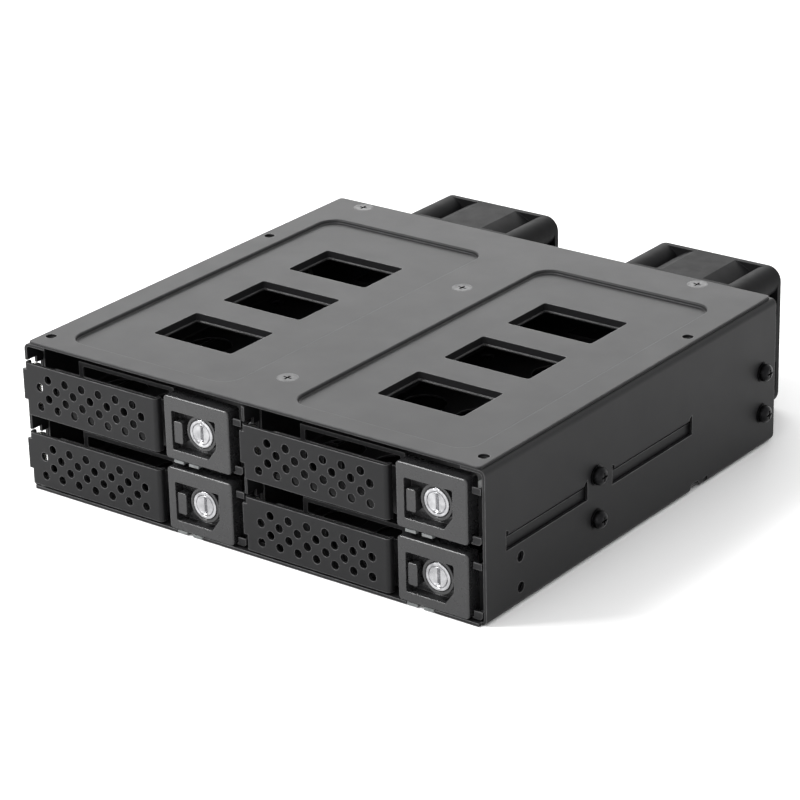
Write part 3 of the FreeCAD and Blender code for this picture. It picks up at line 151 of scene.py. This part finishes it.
def bumped(material, height, p, strength, deepMm):
    # the rounded normal, roughened by a height that is deepMm at its full strength
    bump = addNode(material, "ShaderNodeBump", {"Strength": strength, "Distance": deepMm * mm},
                   {"Height": height, "Normal": roundedNormal(material, p["edgeMm"])})
    return bump.outputs["Normal"]


# Powder coated sheet steel: sprayed and baked epoxy, so a faint orange peel, an even satin grey-black,
# edges with a painted highlight, a paler tone mixed in along them, and rubbed glossier, so that they catch the light
powderCoat = {"dark": "#151516", "light": "#19191a", "edge": "#5e5e5f", "grainMm": 0.45, "grainDetail": 2.0,
              "peelMm": 1.6, "peelDetail": 1.0, "patchMm": 34.0, "roughLow": 0.47, "roughHigh": 0.5,
              "roughPatchMm": 9.0, "sheen": 0.19, "edgeSheen": 0.9, "edgeMm": 0.22, "formedMm": 0.42,
              "bump": 0.16, "deepMm": 0.02}


def powderCoatedSteel():
    material, place = startMaterial("powderCoatedSteel")
    p = powderCoat
    tone = mixColors(material, blotches(material, place, 0.0, 1.0, p["patchMm"]), p["dark"], p["light"])
    # painted highlight: a pale tone mixed in along sharp edges, standing in for the light that rounded edges catch
    paintedEdgeHighlight = addNode(material, "ShaderNodeMix", {"data_type": "RGBA", mixSecond: linearColor(p["edge"])},
                   {mixFactor: edgeMask(material, place, p["edgeMm"]), mixFirst: tone})
    grain = noiseAt(material, place, p["grainMm"], p["grainDetail"])
    peel = noiseAt(material, place, p["peelMm"], p["peelDetail"])
    height = addNode(material, "ShaderNodeMath", {"operation": "ADD"}, {0: grain, 1: peel})
    gloss = edgeLevel(material, edgeMask(material, place, p["formedMm"]), p["sheen"], p["edgeSheen"])
    rough = blotches(material, place, p["roughLow"], p["roughHigh"], p["roughPatchMm"])
    normal = bumped(material, height.outputs["Value"], p, p["bump"], p["deepMm"])
    shader = addNode(material, "ShaderNodeBsdfPrincipled", {"Metallic": 0.0, "IOR": 1.5},
                     {"Base Color": paintedEdgeHighlight.outputs[mixResult], "Specular IOR Level": gloss, "Roughness": rough,
                      "Normal": normal})
    return endMaterial(material, shader)


# Moulded ABS of the latch plates: spark eroded tool texture, fine and even, paler and glossier than the steel
mouldedAbs = {"dark": "#202021", "light": "#262627", "grainMm": 0.22, "roughLow": 0.24, "roughHigh": 0.3,
              "sheen": 0.5, "edgeSheen": 1.0, "edgeMm": 0.35, "bump": 0.2}
# Glass filled PBT of the fans: near black, and dull where the fibres come to the skin
mouldedPbt = {"dark": "#0c0c0d", "light": "#121213", "grainMm": 0.3, "roughLow": 0.58, "roughHigh": 0.66,
              "sheen": 0.12, "edgeSheen": 0.4, "edgeMm": 0.2, "bump": 0.2}
# Moulded nylon of the sockets: dark, with a soft shine
mouldedNylon = {"dark": "#121213", "light": "#1a1a1b", "grainMm": 0.18, "roughLow": 0.4, "roughHigh": 0.55,
                "sheen": 0.4, "edgeSheen": 0.6, "edgeMm": 0.12, "bump": 0.15}
mouldLook = {"patchMm": 11.0, "roughPatchMm": 4.0, "deepMm": 0.015, "detail": 3.0}


def plasticMaterial(name, p):
    material, place = startMaterial(name)
    tone = mixColors(material, blotches(material, place, 0.0, 1.0, mouldLook["patchMm"]), p["dark"], p["light"])
    grain = noiseAt(material, place, p["grainMm"], mouldLook["detail"])
    gloss = edgeLevel(material, edgeMask(material, place, p["edgeMm"]), p["sheen"], p["edgeSheen"])
    rough = blotches(material, place, p["roughLow"], p["roughHigh"], mouldLook["roughPatchMm"])
    shader = addNode(material, "ShaderNodeBsdfPrincipled", {"IOR": 1.5},
                     {"Base Color": tone, "Roughness": rough, "Specular IOR Level": gloss,
                      "Normal": bumped(material, grain, p, p["bump"], mouldLook["deepMm"])})
    return endMaterial(material, shader)


# Plated and turned metals: fine lathe or roll marks, patchy polish
platedZinc = {"dark": "#8e8e90", "light": "#bcbcbe", "lineMm": 0.14, "roughLow": 0.16, "roughHigh": 0.32,
              "edgeMm": 0.1}
nickelSteel = {"dark": "#a8a59c", "light": "#c8c5bd", "lineMm": 0.12, "roughLow": 0.2, "roughHigh": 0.36,
               "edgeMm": 0.08}
oxideSteel = {"dark": "#161617", "light": "#242425", "lineMm": 0.12, "roughLow": 0.28, "roughHigh": 0.45,
              "edgeMm": 0.12}
goldPlate = {"dark": "#c79a3c", "light": "#e8c36a", "lineMm": 0.08, "roughLow": 0.18, "roughHigh": 0.3,
             "edgeMm": 0.05}
metalLook = {"patchMm": 2.2, "roughPatchMm": 1.2, "detail": 2.0, "bump": 0.12, "deepMm": 0.01}


def metalMaterial(name, p):
    material, place = startMaterial(name)
    m = metalLook
    tone = mixColors(material, blotches(material, place, 0.0, 1.0, m["patchMm"]), p["dark"], p["light"])
    marks = noiseAt(material, place, p["lineMm"], m["detail"])
    rough = blotches(material, place, p["roughLow"], p["roughHigh"], m["roughPatchMm"])
    shader = addNode(material, "ShaderNodeBsdfPrincipled", {"Metallic": 1.0},
                     {"Base Color": tone, "Roughness": rough,
                      "Normal": bumped(material, marks, p, m["bump"], m["deepMm"])})
    return endMaterial(material, shader)


# Cast acrylic light guides: clear with a frosted skin, so they look pale against the steel
lightGuide = {"dark": "#6c7070", "light": "#8b8e8e", "patchMm": 3.0, "frostMm": 0.3, "detail": 2.0,
              "roughLow": 0.3, "roughHigh": 0.4, "roughPatchMm": 1.5, "edgeMm": 0.12, "bump": 0.2,
              "deepMm": 0.01, "clear": 0.45}


def acrylicMaterial():
    material, place = startMaterial("clearAcrylic")
    p = lightGuide
    tone = mixColors(material, blotches(material, place, 0.0, 1.0, p["patchMm"]), p["dark"], p["light"])
    frost = noiseAt(material, place, p["frostMm"], p["detail"])
    rough = blotches(material, place, p["roughLow"], p["roughHigh"], p["roughPatchMm"])
    shader = addNode(material, "ShaderNodeBsdfPrincipled", {"IOR": 1.49, "Transmission Weight": p["clear"]},
                     {"Base Color": tone, "Roughness": rough,
                      "Normal": bumped(material, frost, p, p["bump"], p["deepMm"])})
    return endMaterial(material, shader)


# Glass epoxy board under solder mask: black, glossy, with the glass weave just showing
boardLook = {"dark": "#0c0f11", "light": "#14181a", "patchMm": 14.0, "weaveMm": 0.7, "roughLow": 0.3,
             "roughHigh": 0.42, "roughPatchMm": 6.0, "bump": 0.1, "deepMm": 0.02}


def boardMaterial():
    material, place = startMaterial("solderMaskBoard")
    p = boardLook
    tone = mixColors(material, blotches(material, place, 0.0, 1.0, p["patchMm"]), p["dark"], p["light"])
    weave = addNode(material, "ShaderNodeTexChecker", {"Scale": 1 / (p["weaveMm"] * mm)}, {"Vector": place})
    bump = addNode(material, "ShaderNodeBump", {"Strength": p["bump"], "Distance": p["deepMm"] * mm},
                   {"Height": weave.outputs["Fac"]})
    rough = blotches(material, place, p["roughLow"], p["roughHigh"], p["roughPatchMm"])
    shader = addNode(material, "ShaderNodeBsdfPrincipled", {"IOR": 1.55},
                     {"Base Color": tone, "Roughness": rough, "Normal": bump.outputs["Normal"]})
    return endMaterial(material, shader)


finishes = {
    "black_powder_coated_steel": powderCoatedSteel(),
    "black_latch_plastic": plasticMaterial("mouldedAbs", mouldedAbs),
    "black_fan_plastic": plasticMaterial("mouldedPbt", mouldedPbt),
    "black_nylon": plasticMaterial("mouldedNylon", mouldedNylon),
    "chromed_zinc": metalMaterial("platedZinc", platedZinc),
    "nickel_plated_steel": metalMaterial("nickelSteel", nickelSteel),
    "black_oxide_steel": metalMaterial("oxideSteel", oxideSteel),
    "clear_acrylic": acrylicMaterial(),
    "board_black": boardMaterial(),
}
gold = metalMaterial("goldPlate", goldPlate)
slotOf = {part["node"]: part["material_slot"] for part in frame["record"]["subparts"]}
for name, node in nodes.items():
    node.data.materials.clear()
    node.data.materials.append(finishes[slotOf[name]])
print("finishes set on the frame:", len(finishes))


def linkPiece(name, mesh, material):
    mesh.materials.append(material)
    piece = bpy.data.objects.new(name, mesh)
    bpy.context.scene.collection.objects.link(piece)
    return piece


def meshFromGrid(name, grid, material, closed=True):
    # a surface from a grid of points, rows along the first axis; a closed one joins each row's ends and
    # has a cap over its first and last row
    rows, columns = grid.shape[:2]
    index = np.arange(rows * columns).reshape(rows, columns)
    here, down = index[:-1], index[1:]
    corners = (here, np.roll(here, -1, 1), np.roll(down, -1, 1), down)
    if not closed:
        corners = tuple(corner[:, :-1] for corner in corners)
    faces = np.stack(corners, -1).reshape(-1, 4).tolist()
    if closed:
        faces += [index[0][::-1].tolist(), index[-1].tolist()]
    mesh = bpy.data.meshes.new(name)
    mesh.from_pydata(grid.reshape(-1, 3).tolist(), [], faces)
    mesh.polygons.foreach_set("use_smooth", np.ones(len(mesh.polygons), bool))
    mesh.update()
    return linkPiece(name, mesh, material)


def standIn(piece, body, node):
    # the piece rides on the body and is shown in the node's place
    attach(piece, body)
    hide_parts(node)


def tubeAlong(path, radius, sides):
    # a round section carried along a path: path + radius (cos t other + sin t side), both square to the path
    ahead = np.gradient(path, axis=0)
    ahead /= np.linalg.norm(ahead, axis=1, keepdims=True)
    steep = np.abs(ahead[:, 2:3]) > 0.9
    lean = np.where(steep, np.array([[1.0, 0, 0]]), np.array([[0, 0, 1.0]]))
    side = np.cross(ahead, lean)
    side /= np.linalg.norm(side, axis=1, keepdims=True)
    other = np.cross(side, ahead)
    turn = np.linspace(0, 2 * np.pi, sides, endpoint=False)[None, :, None]
    return path[:, None] + radius * (np.cos(turn) * other[:, None] + np.sin(turn) * side[:, None])


# Torsion spring of each handle, close wound about the pin along Z
handleSpringLook = {"wireMm": 0.2, "turns": 13, "pointsPerTurn": 18, "sides": 8}
# Compression spring of each catch, along X
catchSpringLook = {"wireMm": 0.06, "turns": 4, "pointsPerTurn": 14, "sides": 8}


def coilPath(low, high, centre, radius, p):
    # helix: angle a runs over the turns, x and y go round the centre, z climbs evenly from low to high
    a = np.linspace(0, 2 * np.pi * p["turns"], p["turns"] * p["pointsPerTurn"])
    z = low + (high - low) * a / a[-1]
    return np.stack([centre[0] + radius * np.cos(a), centre[1] + radius * np.sin(a), z], -1)


def windSpring(name, body, node, p, alongX):
    # fills the node's box with a coil: its axis is X with the circle in Y and Z, or Z with the circle in X and Y
    low, high = (np.array(corner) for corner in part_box(node))
    order = [1, 2, 0] if alongX else [0, 1, 2]
    wire = p["wireMm"] * mm
    across = 2 if alongX else 0
    radius = (high[across] - low[across]) / 2 - wire
    centre = ((low + high) / 2)[order[:2]]
    path = coilPath(low[order[2]] + wire, high[order[2]] - wire, centre, radius, p)
    coil = np.empty_like(path)
    coil[:, order] = path
    piece = meshFromGrid(name, tubeAlong(coil, wire, p["sides"]), finishes["nickel_plated_steel"])
    standIn(piece, body, node)


for bay in bays:
    windSpring(f"{bay}_handle_coil", f"{bay}_tray_body", f"{bay}_handle_spring", handleSpringLook, False)
for bay in bays:
    windSpring(f"{bay}_catch_coil", f"{bay}_catch_body", f"{bay}_catch_spring", catchSpringLook, True)
print("springs wound")

# Key barrel of each lock: a turned body with a bright rim, a groove round the plug, a dished plug and a key slot.
# plugRows: how far each row of the plug lies from the slot's outline (0) to the plug's (1), and how deep it is;
# rimRows: radius and depth of each row outside the plug. A notch is cut in the rim's top.
lockLook = {"rimMm": 3.65, "plugMm": 2.55, "slotWidthMm": 0.9, "slotLengthMm": 4.4, "slotCorner": 3, "rays": 96,
            "plugRows": ((0.0, 2.4), (0.0, 0.42), (0.05, 0.34), (0.2, 0.306), (0.5, 0.187), (0.8, 0.051), (1.0, 0.0)),
            "rimRows": ((2.6, 0.04), (2.66, 0.42), (2.82, 0.42), (2.88, 0.06), (2.96, 0.0), (3.42, 0.0),
                        (3.55, 0.05), (3.65, 0.2)),
            "notchMm": 0.5, "notchDeepMm": 0.3, "notchFromMm": 2.9}
# Cam behind the barrel: rows through its thickness, as a share of the outline and a depth
camLook = {"lengthMm": 4.9, "widthMm": 3.0, "startMm": 5.5, "rays": 20,
           "rows": ((0.94, 0.0), (1.0, 0.08), (1.0, 0.92), (0.94, 1.0))}


def lockBarrel(centre, front, back):
    # inside the plug each point lies between slot(t) and circle(t) by s; outside it rows are circles of radius r;
    # every row has its own depth, and the rim is notched where its points are near the top
    p = lockLook
    t = np.linspace(0, 2 * np.pi, p["rays"], endpoint=False)
    ring = np.stack([np.cos(t), np.sin(t)], -1)
    halfWidth = p["slotWidthMm"] / 2
    straight = (p["slotLengthMm"] / 2 - halfWidth) * np.clip(np.sin(t) * p["slotCorner"], -1, 1)
    slot = halfWidth * ring + np.stack([np.zeros_like(t), straight], -1)
    s, innerDeep = np.array(p["plugRows"]).T
    inner = slot[None] * (1 - s)[:, None, None] + p["plugMm"] * ring[None] * s[:, None, None]
    r, outerDeep = np.array(p["rimRows"] + ((p["rimMm"], (back - front) / mm),)).T
    outer = r[:, None, None] * ring[None]
    flat = np.concatenate([inner, outer])
    depth = np.repeat(np.concatenate([innerDeep, outerDeep])[:, None], p["rays"], 1)
    atTop = (np.abs(flat[..., 0]) < p["notchMm"]) & (flat[..., 1] > p["notchFromMm"])
    depth[atTop & (depth < p["notchDeepMm"])] = p["notchDeepMm"]
    points = np.stack([centre[0] + flat[..., 0] * mm, front + depth * mm, centre[2] + flat[..., 1] * mm], -1)
    return points[:, ::-1]


def lockCam(centre, front):
    # a bar hanging from the barrel's centre with a round lower end; rows are drawn in at both faces
    p = camLook
    half = p["widthMm"] / 2
    t = np.linspace(0, np.pi, p["rays"])
    lower = np.stack([half * np.cos(t), -half * np.sin(t) - (p["lengthMm"] - half)], -1)
    outline = np.concatenate([lower, [[-half, 0.0], [half, 0.0]]])
    middle = np.array([0.0, -p["lengthMm"] / 2])
    scale, deep = np.array(p["rows"]).T
    flat = middle + (outline - middle)[None] * scale[:, None, None]
    y = np.broadcast_to(front + deep[:, None] * mm, flat.shape[:2])
    return np.stack([centre[0] + flat[..., 0] * mm, y, centre[2] + flat[..., 1] * mm], -1)


chrome = finishes["chromed_zinc"]
for bay in bays:
    low, high = (np.array(corner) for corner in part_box(f"{bay}_lock_barrel"))
    middle = np.array([(low[0] + high[0]) / 2, 0, high[2] - (high[0] - low[0]) / 2])
    barrel = meshFromGrid(f"{bay}_lock_turned", lockBarrel(middle, low[1], high[1]), chrome)
    cam = meshFromGrid(f"{bay}_lock_cam", lockCam(middle, low[1] + camLook["startMm"] * mm), chrome)
    for piece in (barrel, cam):
        standIn(piece, f"{bay}_lock_body", f"{bay}_lock_barrel")
print("lock faces turned")

# Sprung contacts in the sockets: strips flashed with gold over their nickel, each bowed off the wall it lies on
contactLook = {"pitchMm": 1.27, "widthMm": 0.62, "thickMm": 0.16, "bowMm": 0.4, "lengthMm": 5.2, "steps": 14,
               "taper": 12, "tip": 0.35}
# Places of the rows in millimetres, as the sockets have them: mouth is the sockets' rear face, halves are the slots'
socketPlaces = {"mouth": 131.0, "dataX": (-1.2, 14.6), "dataZ": (11.3, 24.3), "dataHalf": 1.0, "dataCount": 7,
                "powerX": (-66.2, -55.8), "powerHalf": 1.2, "powerZ": 12.0, "powerCount": 15}


def contactRow(name, first, along, up, count):
    # for u from 0 to 1 along each strip: place = first + number pitch along + u length ahead + bow sin(pi u) up,
    # and round it a rectangle of four corners, drawn in at both ends
    p = contactLook
    first, along, ahead, up = (np.array(v, float) for v in (first, along, (0, -1, 0), up))
    u = np.linspace(0, 1, p["steps"])
    spine = first + mm * (u[:, None] * p["lengthMm"] * ahead + p["bowMm"] * np.sin(np.pi * u)[:, None] * up)
    shrink = np.clip(np.minimum(u, 1 - u) * p["taper"], p["tip"], 1.0)[:, None, None]
    corners = np.array([[-1, 0], [1, 0], [1, 1], [-1, 1]])
    section = corners[:, :1] * p["widthMm"] / 2 * along + corners[:, 1:] * p["thickMm"] * up
    strip = spine[:, None] + mm * shrink * section[None]
    strips = strip[None] + np.arange(count)[:, None, None, None] * p["pitchMm"] * mm * along
    ring = np.arange(4)
    beside = (ring + 1) % 4
    here = (np.arange(p["steps"] - 1) * 4)[:, None]
    sides = np.stack([here + ring, here + beside, here + 4 + beside, here + 4 + ring], -1).reshape(-1, 4)
    last = (p["steps"] - 1) * 4
    faces = np.concatenate([sides, [ring[::-1], last + ring]])
    faces = (faces[None] + (np.arange(count) * p["steps"] * 4)[:, None, None]).reshape(-1, 4)
    mesh = bpy.data.meshes.new(name)
    mesh.from_pydata(strips.reshape(-1, 3).tolist(), [], faces.tolist())
    mesh.update()
    if np.dot(np.cross(along, up), ahead) < 0:
        # here the corners run the other way round, which would leave the strips inside out
        mesh.flip_normals()
    piece = linkPiece(name, mesh, gold)
    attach(piece, "cage")


def addContacts():
    p = socketPlaces
    middle = (p["dataCount"] - 1) / 2 * contactLook["pitchMm"]
    for column, x in enumerate(p["dataX"]):
        for row, z in enumerate(p["dataZ"]):
            start = (mm * (x - middle), mm * p["mouth"], mm * (z - p["dataHalf"]))
            contactRow(f"data_contacts_{column}_{row}", start, (1, 0, 0), (0, 0, 1), p["dataCount"])
    for column, x in enumerate(p["powerX"]):
        start = (mm * (x - p["powerHalf"]), mm * p["mouth"], mm * p["powerZ"])
        contactRow(f"power_contacts_{column}", start, (0, 0, 1), (1, 0, 0), p["powerCount"])


addContacts()
print("contacts laid in the sockets")

# Camera as the photograph was taken: angles in degrees, places in millimetres
cameraPlace = {"azimuth": 37.33, "elevation": 23.03, "roll": -1.48, "targetMm": (3.1, 60.0, 21.0),
               "distanceMm": 834.0, "focalPixels": 3191.0, "framePixels": 800.0, "sensorMm": 36.0, "nearMm": 10.0}


def addCamera():
    p = cameraPlace
    azimuth, elevation, roll = (math.radians(p[k]) for k in ("azimuth", "elevation", "roll"))
    level = math.cos(elevation)
    back = Vector((math.sin(azimuth) * level, -math.cos(azimuth) * level, math.sin(elevation)))
    right = Vector((math.cos(azimuth), math.sin(azimuth), 0))
    up = back.cross(right)
    rolledRight = math.cos(roll) * right + math.sin(roll) * up
    rolledUp = -math.sin(roll) * right + math.cos(roll) * up
    camera = bpy.data.objects.new("camera", bpy.data.cameras.new("camera"))
    turn = Matrix((rolledRight, rolledUp, back)).transposed().to_4x4()
    camera.matrix_world = Matrix.Translation((Vector(p["targetMm"]) + back * p["distanceMm"]) * mm) @ turn
    camera.data.sensor_width = p["sensorMm"]
    camera.data.lens = p["focalPixels"] / p["framePixels"] * p["sensorMm"]
    camera.data.clip_start = p["nearMm"] * mm
    bpy.context.scene.collection.objects.link(camera)
    bpy.context.scene.camera = camera


addCamera()

# Studio: a wide pale floor, an even white sky and three soft boxes, each with its place, the point it looks at,
# its width and height, all in metres, and its power in watts
studio = {"floorDark": "#f0f0f0", "floorLight": "#f4f4f4", "floorSize": 6.0, "floorDropMm": 0.1, "patchMm": 300.0,
          "floorRough": 0.9, "sky": 1.12}
softBoxes = {"keyBox": ((-0.46, -0.34, 0.66), (0, 0.06, 0.02), 0.3, 0.3, 8.2),
             "fillBox": ((0.1, -0.9, 0.35), (0, 0.0, 0.02), 0.6, 0.4, 1.6),
             "rimBox": ((-0.62, 0.88, 0.5), (0, 0.06, 0.04), 0.9, 0.5, 5.4)}


def softBox(name, place, target, width, height, power):
    light = bpy.data.lights.new(name, "AREA")
    light.shape = "RECTANGLE"
    light.size, light.size_y, light.energy = width, height, power
    lamp = bpy.data.objects.new(name, light)
    lamp.location = place
    lamp.rotation_euler = (Vector(target) - Vector(place)).to_track_quat("-Z", "Y").to_euler()
    bpy.context.scene.collection.objects.link(lamp)


def addStudio():
    p = studio
    half, drop = p["floorSize"] / 2, -p["floorDropMm"] * mm
    corners = np.array([[[x, y, drop] for x in (-half, half)] for y in (-half, half)])
    material, place = startMaterial("paleFloor")
    tone = mixColors(material, blotches(material, place, 0.0, 1.0, p["patchMm"]), p["floorDark"], p["floorLight"])
    shader = addNode(material, "ShaderNodeBsdfPrincipled", {"Roughness": p["floorRough"], "IOR": 1.3},
                     {"Base Color": tone})
    floor = meshFromGrid("studioFloor", corners, endMaterial(material, shader), closed=False)
    world = bpy.data.worlds.new("studioSky")
    bpy.context.scene.world = world
    world.use_nodes = True
    sky = world.node_tree.nodes["Background"]
    sky.inputs["Color"].default_value = (1.0, 1.0, 1.0, 1.0)
    sky.inputs["Strength"].default_value = p["sky"]
    for name, settings in softBoxes.items():
        softBox(name, *settings)


addStudio()
bpy.context.scene.view_settings.view_transform = "Standard"
print("camera and studio set")
